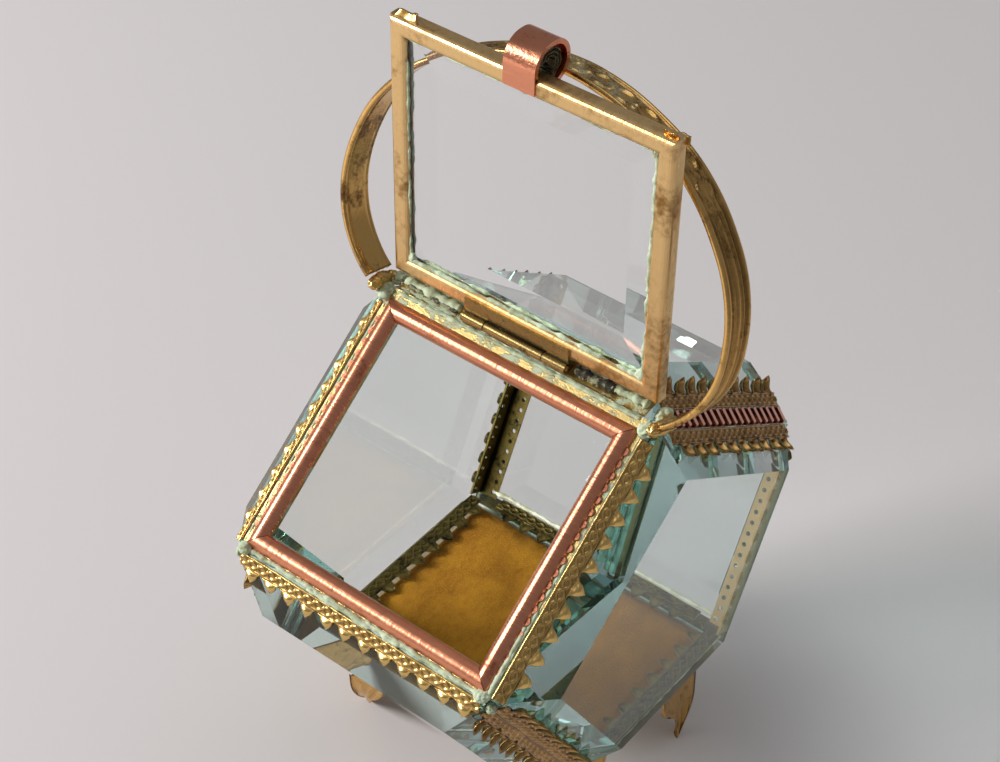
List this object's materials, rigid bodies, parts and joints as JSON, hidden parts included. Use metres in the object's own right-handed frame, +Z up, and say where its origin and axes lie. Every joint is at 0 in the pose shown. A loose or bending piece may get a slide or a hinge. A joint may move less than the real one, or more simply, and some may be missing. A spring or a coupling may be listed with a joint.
{
  "type": "glass casket box",
  "caption": "Bag-shaped keepsake casket of bevelled glass panes in toothed brass strips, with a slanted hinged lid, hoop handle, padded floor and folded leaf feet.",
  "frame": {"origin": "on the ground, under the middle of the casket", "axes": "+Z up, +X along the ridge and hinge, -Y towards the slanted opening"},
  "size_m": [0.0744, 0.0848, 0.1444],
  "materials": {
    "glass": "clear polished bevelled glass with a green edge",
    "brass": "worn gilt brass",
    "old_brass": "darkened brass with patina",
    "copper": "bright drawn copper",
    "solder": "dull solder with pale green bloom",
    "velvet": "mustard velvet",
    "card": "grey-brown paper board"
  },
  "bodies": {
    "casket": {"glass_front": "glass", "glass_back_lower": "glass", "glass_back_upper": "glass", "glass_end_left": "glass", "glass_end_right": "glass", "floor_tray": "old_brass", "floor_gallery_left": "old_brass", "floor_gallery_right": "old_brass", "floor_gallery_front": "old_brass", "floor_gallery_back": "old_brass", "base_strip_front": "old_brass", "base_strip_back": "old_brass", "base_strip_left": "old_brass", "base_strip_right": "old_brass", "gallery_corner_back_left": "old_brass", "gallery_corner_back_right": "old_brass", "hinge_leaf_fixed": "old_brass", "inner_angle_front_left": "old_brass", "inner_angle_front_right": "old_brass", "inner_angle_back_left": "old_brass", "inner_angle_back_right": "old_brass", "floor_card": "card", "velvet_pad": "velvet", "foot_front_left": "brass", "foot_front_right": "brass", "foot_back_left": "brass", "foot_back_right": "brass", "gallery_front": "brass", "gallery_back": "brass", "gallery_slope_left": "brass", "gallery_slope_right": "brass", "gallery_corner_front_left": "brass", "gallery_corner_front_right": "brass", "gallery_roof_left": "brass", "gallery_roof_right": "brass", "hinge_pin": "brass", "handle_hoop": "brass", "copper_braid_left": "copper", "copper_braid_right": "copper", "copper_rail_left": "copper", "copper_rail_right": "copper", "copper_rail_front": "copper", "copper_rail_back": "copper", "opening_ledge": "solder", "ridge_strip": "solder", "handle_knot_left": "solder", "handle_knot_right": "solder"},
    "lid": {"lid_frame": "brass", "lid_glass": "glass", "hinge_leaf_lid": "old_brass", "clasp_roll": "copper"}
  },
  "joints": [
    {"name": "lid_hinge", "type": "hinge", "parent": "casket", "child": "lid", "pos_m": [0, 0, 0.0915], "axis": [1, 0, 0], "range_deg": [0, 128]}
  ]
}
